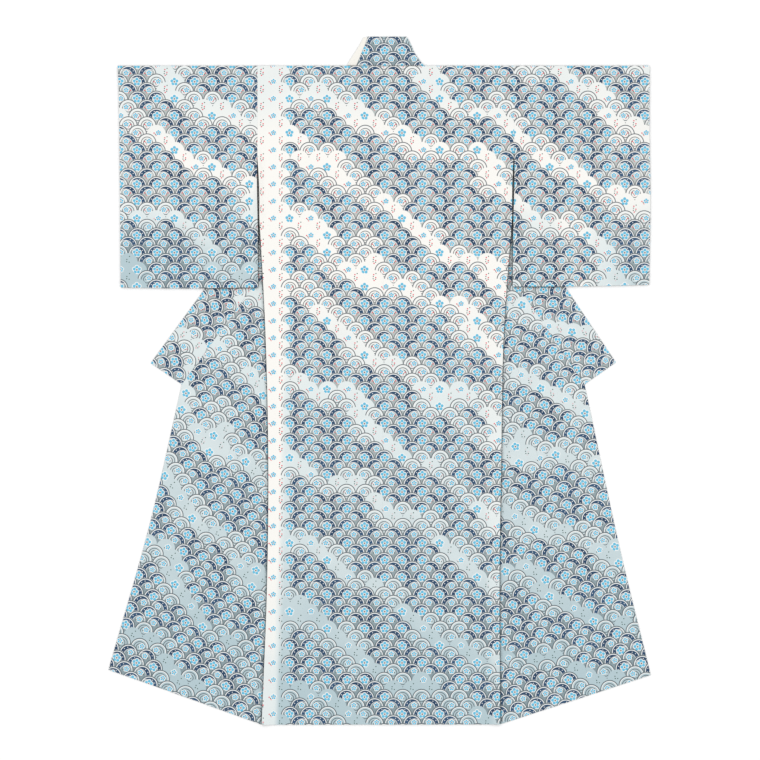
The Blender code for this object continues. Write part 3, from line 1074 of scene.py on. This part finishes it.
@dataclass
class SilkWorkshop:
    """Makes the silk finishes from shared groups."""

    dyes: SilkDyes = SilkDyes()
    roughness: float = 0.62
    # how far the painted shade darkens the colour
    depth: float = 0.95

    def __post_init__(self) -> None:
        """Build the shared groups once."""
        self.dyed_tree = dyed_group(self.dyes, WavePrint().build())
        self.weave_tree = weave_group()
        self.painted_shade_tree = painted_shade_group()

    def start(self, name: str) -> tuple[Material, Chain, Node, Socket]:
        """Start a silk with its weave, and give its grain for the colour."""
        material, c, shader = start_material(name, {
            "Sheen Weight": 0.12, "Sheen Roughness": 0.45, "Specular IOR Level": 0.28})
        grain = c.node("ShaderNodeUVMap", uv_map="grain").outputs["UV"]
        weave = c.group(self.weave_tree, Grain=grain)
        bump = c.node("ShaderNodeBump", {"Strength": 0.35, "Distance": 0.00025,
                                         "Height": weave["Height"]})
        c.set(shader.inputs["Normal"], bump.outputs["Normal"])
        c.set(shader.inputs["Roughness"],
              c.math("MULTIPLY_ADD", weave["Slub"], 0.12, self.roughness - 0.06))
        return material, c, shader, grain

    def tint(self, c: Chain, shader: Node, tone: Socket) -> None:
        """Give a silk its colour, with painted shade mixed in close under an edge and in a slit.
        """
        nook = c.group(self.painted_shade_tree)["Nook"]
        c.set(shader.inputs["Base Color"],
              c.mix(c.math("MULTIPLY", nook, self.depth), tone, self.dyes.nook))

    def printed(self, name: str, offset: Pair = (0.0, 0.0),
                plain: float = PRINTED_ALL_OVER) -> Material:
        """Make the printed silk of the right side.

        Args:
            name: The material's name.
            offset: How far the print is shifted on the grain.
            plain: How far to the left the scales end.

        Returns:
            The material.
        """
        material, c, shader, grain = self.start(name)
        shift = c.node("ShaderNodeMapping", {"Vector": grain, "Location": (*offset, 0.0)})
        dye = c.node("ShaderNodeAttribute", attribute_name="dye").outputs["Fac"]
        self.tint(c, shader, c.group(self.dyed_tree, Grain=shift.outputs[0], Dye=dye,
                                       Plain=plain)["Color"])
        return material

    def lining(self, name: str) -> Material:
        """Make the plain silk of the wrong side, a little uneven in tone."""
        material, c, shader, grain = self.start(name)
        cloud = c.noise(grain, 24.0, flat=False)
        self.tint(c, shader, c.mix(c.math("MULTIPLY", cloud, 0.18), self.dyes.lining,
                                     self.dyes.mist))
        return material

    def thread(self, name: str) -> Material:
        """Make the twisted sewing thread."""
        material, c, shader = start_material(name, {"Roughness": 0.5})
        where = c.node("ShaderNodeTexCoord").outputs["Object"]
        twist = c.math("MULTIPLY", c.noise(where, 2500.0, flat=False), 0.5)
        c.set(shader.inputs["Base Color"], c.mix(twist, self.dyes.thread, self.dyes.blue_grey))
        return material


# Pieces


# The shaded dye from the hem up: heights, then depths from 0 to 1.
BACK_SHADE = ((-0.77, -0.50, -0.05, 0.26), (1.0, 0.71, 0.46, 0.0))
FRONT_SHADE = ((-0.75, -0.41, 0.30), (1.05, 0.76, 0.47))


def shoulder_fold_shade(points: Array) -> Array:
    """Give the painted shade near the shoulder fold: a slight cool grey added to the dye, where
    the cloth rolls away from the light.
    """
    return 0.30 * smooth_step((points[:, 1] - 0.50) / 0.24)


def front_dye(points: Array) -> Array:
    """Give the dye of the turned-out fronts, deeper towards the hem."""
    return np.interp(points[:, 1], *FRONT_SHADE)


@dataclass
class Sheet:
    """A piece sewn of one sheet of cloth, with notes of its slot, flat size and area."""

    lay: Lay
    silk: SilkWorkshop
    side: Side | None = None  # none for the pieces in the middle
    slot: str = ""
    flat: Pair = (0.0, 0.0)
    area: float | None = None  # stated where the cut isn't a rectangle

    def build(self) -> Object:
        """Sew the piece and give its object."""
        raise NotImplementedError


@dataclass
class BodyPanel(Sheet):
    """A body panel: back half on top, front half under it and turned out again."""

    slot: str = "body_silk"
    flat: Pair = (0.315, 3.16)
    plain_from: float = 0.240  # the left back is bare from here to its side seam

    def back_dye(self, points: Array) -> Array:
        """Give the dye of the back: ivory above, blue-grey below, ivory by the side seam, with
        painted shade near the shoulder fold.
        """
        x, y = points.T
        inner = np.interp(y, (-0.82, 0.30), (0.246, 0.226))
        strip = smooth_step((np.abs(x - CENTRE_X) - inner) / 0.022)
        keep = strip * (1.0 if self.side is Side.LEFT else 0.35)
        foot = np.interp(y, (-0.80, -0.62, -0.36), (0.46, 0.22, 0.0))
        return np.interp(y, *BACK_SHADE) * (1 - keep) + keep * foot + shoulder_fold_shade(points)

    def build(self) -> Object:
        """Sew the panel and give its object."""
        side, lay = self.side, self.lay
        cloth = Cloth("body_panel_" + side.word, lay)
        outer = lay.side_line(side)[::-1].copy()
        outer[-1] += FOLD_DROP
        top = corners(side, "armhole_top", "neck_point", "centre_neck") + FOLD_DROP
        centre = edge(side, "centre_hem", "centre_neck").copy()
        centre[-1] += FOLD_DROP
        across, upward = grid_lines(top), grid_lines(centre)
        neck = int(np.argmin(np.abs(across - span(top[:2]) / span(top))))
        grain = Grain(dye=self.back_dye)
        hem, side_rail, shoulder = rails(edge(side, "side_hem", "centre_hem"), outer, top[:2])
        cloth.leaf(Leaf(hem, Rail(top, [(across[neck], 1)]), side_rail, Rail(centre),
                        across, upward, Level.TOP), grain)
        beside_neck = across[:neck + 1] / across[neck]
        cloth.join(shoulder, beside_neck, (0.0, 1.0), UPPER_TWO, grain, FOLD_STEPS)
        sewn = upward[side_rail.at(upward)[:, 1] <= landmark(side, "slit_end")[1]]
        cloth.join(side_rail, sewn, (side.value, 0.0), UPPER_TWO, grain)
        self.front(cloth, side_rail, shoulder, beside_neck, upward)
        plain = self.plain_from if side is Side.LEFT else PRINTED_ALL_OVER
        return cloth.finish(self.silk.printed("body_silk_" + side.word, plain=plain),
                            self.silk.lining("body_lining_" + side.word))

    def front(self, cloth: Cloth, side_rail: Rail, shoulder: Rail, across: Array,
              upward: Array) -> None:
        """Add the front half: first face down under the back, then folded out.

        Args:
            cloth: The piece.
            side_rail: The panel's side, from the hem up.
            shoulder: The shoulder fold, from the armhole to the neck.
            across: Grid lines across the shoulder.
            upward: Grid lines from the hem up.
        """
        side = self.side
        meeting, foot = self.lay.meeting(side), landmark(side, "side_hem")
        inner = np.array([foot, meeting, shoulder.line[-1]])
        knee = int(np.argmin(np.abs(upward - span(inner[:2]) / span(inner))))
        cloth.leaf(Leaf(Rail(np.array([foot, foot])), shoulder, side_rail,
                        Rail(inner, [(upward[knee], 1)]), across, upward, Level.UNDER,
                        face_up=False), Grain(dye=front_dye))
        seam = edge(side, "overlap_point", "seam_at_hem")
        grain = Grain(tuple(seam[0]), slant(*seam), front_dye)
        fold, rows = Rail(inner[:2]), upward[:knee + 1] / upward[knee]
        hem = edge(side, "seam_at_hem", "side_hem")
        cloth.leaf(Leaf(*rails(hem, np.array([seam[0], meeting]), seam[::-1]), fold,
                        grid_lines(hem), rows, Level.TURNED), grain)
        outward = np.array((meeting[1] - foot[1], foot[0] - meeting[0])) * -side.value
        cloth.join(fold, rows, outward / np.hypot(*outward), (Level.TURNED, Level.UNDER),
                   grain, FOLD_STEPS)


@dataclass
class OverlapPanel(Sheet):
    """The narrow panel at the front edge."""

    slot: str = "front_silk"
    flat: Pair = (0.160, 1.13)
    area: float | None = 0.134  # it narrows to a point

    def build(self) -> Object:
        """Sew the panel and give its object."""
        side = self.side
        cloth = Cloth("overlap_panel_" + side.word, self.lay)
        seam = edge(side, "overlap_point", "seam_at_hem")
        front = edge(side, "front_corner", "edge_middle", "collar_end")
        hem = edge(side, "front_corner", "seam_at_hem")
        collar_seam = edge(side, "collar_end", "overlap_point")
        cloth.leaf(Leaf(*rails(hem, collar_seam, front, seam[::-1]), grid_lines(hem),
                        grid_lines(seam), Level.TURNED),
                   Grain(tuple(seam[0]), slant(*seam), front_dye))
        return cloth.finish(self.silk.printed("overlap_silk_" + side.word),
                            self.silk.lining("overlap_lining_" + side.word))


@dataclass
class Sleeve(Sheet):
    """A sleeve: one length of cloth folded at the shoulder line."""

    slot: str = "sleeve_silk"
    flat: Pair = (0.335, 1.065)

    def dye(self, points: Array) -> Array:
        """Give the dye: ivory at the fold under a painted shade, blue-grey at the bottom, uneven
        across.
        """
        x, y = points.T
        across = np.abs(x - CENTRE_X)
        depth = smooth_step((0.52 - y) / 0.28)
        if self.side is Side.LEFT:
            tone = 0.10 + depth * (0.74 + 0.3 * smooth_step((across - 0.42) / 0.14))
            return tone + shoulder_fold_shade(points)
        bare = np.exp(-(((across - 0.455) / 0.040) ** 2))
        tone = 0.58 + 0.2 * smooth_step((across - 0.52) / 0.1)
        return depth * tone * (1 - 0.95 * bare) + shoulder_fold_shade(points)

    def build(self) -> Object:
        """Sew the sleeve and give its object."""
        side, lay = self.side, self.lay
        cloth = Cloth("sleeve_cloth_" + side.word, lay)
        outer, bottom, inner = (line.copy() for line in lay.sleeve_sides(side))
        outer[0] += FOLD_DROP
        inner[-1] += FOLD_DROP
        top = np.array([outer[0], inner[-1]])
        across, upward = grid_lines(top), grid_lines(outer)
        grain = Grain(dye=self.dye)
        sides = rails(bottom, top, outer[::-1], inner)
        cloth.leaf(Leaf(*sides, across, upward, Level.TOP), grain)
        cloth.leaf(Leaf(*sides, across, upward, Level.UNDER, face_up=False), grain)
        cloth.join(sides[1], across, (0.0, 1.0), UPPER_TWO, grain, FOLD_STEPS)
        cloth.join(sides[0], across, (0.0, -1.0), UPPER_TWO, grain)
        sewn = upward[sides[2].at(upward)[:, 1] <= SHOULDER_Y - ARM_OPENING]
        cloth.join(sides[2], sewn, (side.value, 0.0), UPPER_TWO, grain)
        return cloth.finish(self.silk.printed("sleeve_silk_" + side.word, (0.006, 0.0)),
                            self.silk.lining("sleeve_lining_" + side.word))


def neck_edge(side: Side, column: int, inset: float = 0.0, lowered: float = 0.0
              ) -> Array:
    """Draw one side of the cloth that stands at the back neck.

    Args:
        side: The side.
        column: Its column in the neck's rows.
        inset: How far it lies inside the row's place.
        lowered: How far its top end is lowered.

    Returns:
        The line from the fold up.
    """
    line = smooth_line(np.array(
        [place(side, row[column] - inset, -row[0]) for row in NECK_ROWS]))
    line[-1][1] -= lowered
    return line


def standing_leaf(left: Array, right: Array, level: Level) -> Leaf:
    """Stretch the cloth that stands at the back neck between its two sides."""
    low, high = np.array([left[0], right[0]]), np.array([left[-1], right[-1]])
    return Leaf(*rails(low, high, left, right), grid_lines(low), grid_lines(left), level)


@dataclass
class Collar(Sheet):
    """The collar: it stands at the back neck and runs out to both fronts."""

    slot: str = "collar_silk"
    flat: Pair = (0.105, 2.05)

    def dye(self, points: Array) -> Array:
        """Give the dye: deeper down the runs, and deepest where it stands at the neck."""
        at_neck = smooth_step((points[:, 1] - SHOULDER_Y + 0.02) / 0.02)
        return np.clip(0.30 + (0.55 - points[:, 1]) / 1.9 + 0.75 * at_neck, 0.0, 1.0)

    def run(self, cloth: Cloth, side: Side) -> None:
        """Add the stretch of collar that runs out to one front."""
        seam = self.lay.collar_seam(side)
        free = edge(side, "collar_tip", "free_top")
        end = edge(side, "collar_end", "collar_tip")
        fold = np.vstack([seam[:1], corners(side, "fold_top", "free_top")])
        cloth.leaf(Leaf(*rails(end[::-1], fold[::-1], free, seam[::-1]), grid_lines(end),
                        grid_lines(seam), Level.TURNED),
                   Grain(tuple(free[0]), slant(*free[::-1]), self.dye))

    def tuck(self, cloth: Cloth, side: Side, grain: Grain) -> None:
        """Add the small corner of collar that passes under the back beside the neck."""
        low = self.lay.meeting(side)
        top = corners(side, "neck_point", "fold_top")
        left, right = np.array([low, top[0]]), np.array([low, top[1]])
        cloth.leaf(Leaf(*rails(np.array([low, low]), top, left, right), grid_lines(top),
                        grid_lines(left), Level.UNDER, face_up=False), grain)

    def build(self) -> Object:
        """Sew the collar and give its object."""
        cloth = Cloth("collar_cloth", self.lay)
        grain = Grain(dye=self.dye)
        for side in Side:
            self.run(cloth, side)
        cloth.leaf(standing_leaf(neck_edge(Side.LEFT, 1), neck_edge(Side.RIGHT, 2),
                                 Level.UNDER), grain)
        for side in Side:
            self.tuck(cloth, side, grain)
        return cloth.finish(self.silk.printed("collar_silk", (0.0, -0.075)),
                            self.silk.lining("collar_wrong_side"))


@dataclass
class CollarLining(Sheet):
    """The collar's lining at the back neck, which shows past its left edge."""

    slot: str = "lining_silk"
    flat: Pair = (0.185, 0.068)
    area: float | None = 0.0098  # it narrows upwards

    def build(self) -> Object:
        """Sew the lining and give its object."""
        cloth = Cloth("collar_lining_cloth", self.lay)
        left = neck_edge(Side.LEFT, 3, lowered=LINING_INSET)
        right = neck_edge(Side.RIGHT, 2, LINING_INSET, LINING_INSET)
        cloth.leaf(standing_leaf(left, right, Level.TURNED), Grain())
        finish = self.silk.lining("collar_lining_silk")
        return cloth.finish(finish, finish)


@dataclass
class Sewing:
    """The stitches that show: bars at the slits and openings, and pricks along the hems."""

    lay: Lay
    silk: SilkWorkshop
    bar: Pair = (0.0030, 0.00042)  # half length and radius
    bar_steps: tuple[float, ...] = (0.0, 0.0012, 0.0024)  # a bar is three stitches
    bar_from_edge: float = 0.0035
    bar_stagger: float = 0.2
    prick: Pair = (0.0007, 0.00022)
    prick_every: float = 0.0120
    prick_from_edge: float = 0.0060
    sink: float = 0.2  # a stitch's middle stands this share of its radius above the cloth

    def stitch(self, mesh: BMesh, point: Array, level: Level,
               angle: float, size: Pair) -> None:
        """Add one stitch.

        Args:
            mesh: The mesh of all stitches.
            point: Its middle in the plan.
            level: The leaf that it lies on.
            angle: Its turn in the plan.
            size: Its half length and its radius.
        """
        height = float(self.lay.height(point[None, :], level)[0]) + SHELL / 2
        shape = Matrix.Diagonal((size[0], size[1], size[1], 1.0))
        turn = Matrix.Rotation(angle, 4, "Z")
        spot = Matrix.Translation((*point, height + self.sink * size[1]))
        bmesh.ops.create_icosphere(mesh, subdivisions=2, radius=1.0,
                                   matrix=spot @ turn @ shape)

    def bars(self, mesh: BMesh, side: Side) -> None:
        """Add the bars across the top of a slit and at the end of a sleeve's opening."""
        outer = self.lay.sleeve_sides(side)[0]
        opening = Rail(outer).at(np.array([ARM_OPENING / span(outer)]))[0]
        for step in self.bar_steps:
            slit = landmark(side, "armhole_end") + (0.0, self.bar_steps[1] - step)
            self.stitch(mesh, slit, Level.TOP, 0.0, self.bar)
            inward = self.bar_from_edge + self.bar_stagger * step
            self.stitch(mesh, opening + (-side.value * inward, -step), Level.TOP, 0.0, self.bar)

    def pricks(self, mesh: BMesh, line: Array, level: Level) -> None:
        """Add the small pricks of a hidden hem stitch along a line."""
        count = int(span(line) / self.prick_every)
        rail, near = Rail(line), 0.002  # the way is taken from points this share apart
        shares = (np.arange(count) + 0.5) / count
        ways = rail.at(shares + near) - rail.at(shares - near)
        for point, way in zip(rail.at(shares), ways):
            raised = point + (0.0, self.prick_from_edge)
            self.stitch(mesh, raised, level, math.atan2(way[1], way[0]), self.prick)

    def build(self) -> None:
        """Make all stitches as one object and tell the frame of it."""
        mesh = bmesh.new()
        for side in Side:
            self.bars(mesh, side)
            for start, end, level in (("side_hem", "centre_hem", Level.TOP),
                                      ("seam_at_hem", "side_hem", Level.TURNED),
                                      ("front_corner", "seam_at_hem", Level.TURNED)):
                self.pricks(mesh, edge(side, start, end), level)
        obj = make_object("sewing_thread", mesh, self.silk.thread("silk_thread"))
        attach(obj, "root")
        LOG.info("%s: %d faces", obj.name, len(obj.data.polygons))


# Studio


@dataclass
class Studio:
    """The white surface, the soft light and the camera straight above."""

    view_centre: Pair = (0.0009, 0.0017)
    view_width: float = 1.824
    lens: float = 120.0
    sensor: float = 36.0
    far_limit: float = 60.0
    sky_strength: float = 0.90
    board_half: float = 9.0
    board_height: float = -0.0004

    def build(self) -> None:
        """Make the surface, the lights and the camera."""
        scene = bpy.context.scene
        scene.view_settings.view_transform = "Standard"
        self.surface()
        self.sky()
        self.lamp("key_light", (-1.1, 1.5, 4.2), 2.8, 34.0)
        self.lamp("fill_light", (1.9, -1.2, 4.2), 3.4, 22.0)
        lens = bpy.data.cameras.new("camera")
        lens.lens, lens.sensor_width, lens.clip_end = self.lens, self.sensor, self.far_limit
        camera = bpy.data.objects.new("camera", lens)
        camera.location = (*self.view_centre, self.view_width * self.lens / self.sensor)
        scene.collection.objects.link(camera)
        scene.camera = camera

    def surface(self) -> None:
        """Lay the white surface under the garment."""
        mesh = bmesh.new()
        bmesh.ops.create_grid(mesh, x_segments=1, y_segments=1, size=self.board_half,
                              matrix=Matrix.Translation((0.0, 0.0, self.board_height)))
        material = start_material("white_board", {
            "Base Color": (0.96, 0.96, 0.96, 1.0), "Roughness": 0.9,
            "Specular IOR Level": 0.0})[0]
        make_object("surface", mesh, material)

    def sky(self) -> None:
        """Light everything evenly from all round."""
        world = bpy.data.worlds.new("even_light")
        world.use_nodes = True
        background = world.node_tree.nodes["Background"]
        background.inputs["Color"].default_value = (1.0, 1.0, 1.0, 1.0)
        background.inputs["Strength"].default_value = self.sky_strength
        bpy.context.scene.world = world

    def lamp(self, name: str, spot: tuple[float, float, float], size: float,
             power: float) -> None:
        """Hang a large soft lamp that looks at the garment."""
        data = bpy.data.lights.new(name, "AREA")
        data.shape, data.size, data.energy = "DISK", size, power
        lamp = bpy.data.objects.new(name, data)
        lamp.location = spot
        lamp.rotation_euler = (-Vector(spot)).to_track_quat("-Z", "Y").to_euler()
        bpy.context.scene.collection.objects.link(lamp)


CREASES: list[Crease] = [
    # the back's lips at the slits under the arms stand up
    Crease((-0.2925, 0.570), (-0.2885, 0.372), 0.0075, 0.0060, lowest=Level.TOP),
    Crease((0.3225, 0.590), (0.3180, 0.350), 0.0075, 0.0060, lowest=Level.TOP),
    # soft pulls from the slits' ends across the back and the sleeves
    Crease((-0.285, 0.400), (-0.130, 0.290), 0.016, 0.0009, 0.010, Level.UNDER),
    Crease((0.312, 0.395), (0.170, 0.300), 0.018, 0.0008, -0.012, Level.UNDER),
    Crease((-0.300, 0.520), (-0.430, 0.440), 0.014, 0.0008, -0.008, Level.UNDER),
    Crease((0.330, 0.540), (0.450, 0.450), 0.015, 0.0008, 0.010, Level.UNDER),
    # folds remembered from storage, across the body and down the sleeves
    Crease((-0.270, -0.040), (0.280, -0.052), 0.022, 0.0008, 0.006, Level.TURNED),
    Crease((-0.260, 0.330), (0.270, 0.342), 0.026, 0.0006, -0.005, Level.UNDER),
    Crease((-0.455, 0.740), (-0.462, 0.240), 0.020, 0.0008, 0.005, Level.UNDER),
    Crease((0.490, 0.740), (0.478, 0.250), 0.022, 0.0007, -0.004, Level.UNDER),
    # slackness down the back
    Crease((-0.150, 0.600), (-0.190, -0.420), 0.030, 0.0008, 0.012, Level.UNDER),
    Crease((0.175, 0.520), (0.200, -0.520), 0.034, 0.0007, -0.014, Level.UNDER),
    Crease((-0.060, -0.250), (-0.090, -0.800), 0.028, 0.0008, 0.008, Level.TOP),
    Crease((0.080, -0.300), (0.110, -0.800), 0.026, 0.0007, -0.010, Level.TOP),
    # slackness of the turned-out fronts
    Crease((-0.330, 0.060), (-0.470, -0.600), 0.020, 0.0010, 0.012),
    Crease((0.350, 0.040), (0.455, -0.640), 0.022, 0.0009, -0.012),
    Crease((-0.400, -0.130), (-0.560, -0.660), 0.016, 0.0009, -0.008),
    Crease((0.430, -0.160), (0.560, -0.680), 0.016, 0.0008, 0.008),
    # the collar's runs
    Crease((-0.330, 0.250), (-0.520, 0.020), 0.014, 0.0007, 0.004),
    Crease((0.340, 0.260), (0.510, 0.030), 0.014, 0.0007, -0.004),
]


def declare(piece: Sheet, node: str) -> None:
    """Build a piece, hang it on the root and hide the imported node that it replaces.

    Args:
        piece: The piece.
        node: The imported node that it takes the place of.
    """
    obj = piece.build()
    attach(obj, "root")
    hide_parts(node)
    LOG.info("%s: %d faces before its modifiers", obj.name, len(obj.data.polygons))


def main() -> None:
    """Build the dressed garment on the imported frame."""
    logging.basicConfig(level=logging.INFO, format="%(message)s")
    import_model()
    Studio().build()
    lay, silk = Lay(creases=CREASES), SilkWorkshop()
    for side in Side:
        declare(OverlapPanel(lay, silk, side), "overlap_" + side.word)
        declare(BodyPanel(lay, silk, side), "body_" + side.word)
        declare(Sleeve(lay, silk, side), "sleeve_" + side.word)
    declare(Collar(lay, silk), "collar")
    declare(CollarLining(lay, silk), "collar_lining")
    Sewing(lay, silk).build()


if __name__ == "__main__":
    main()
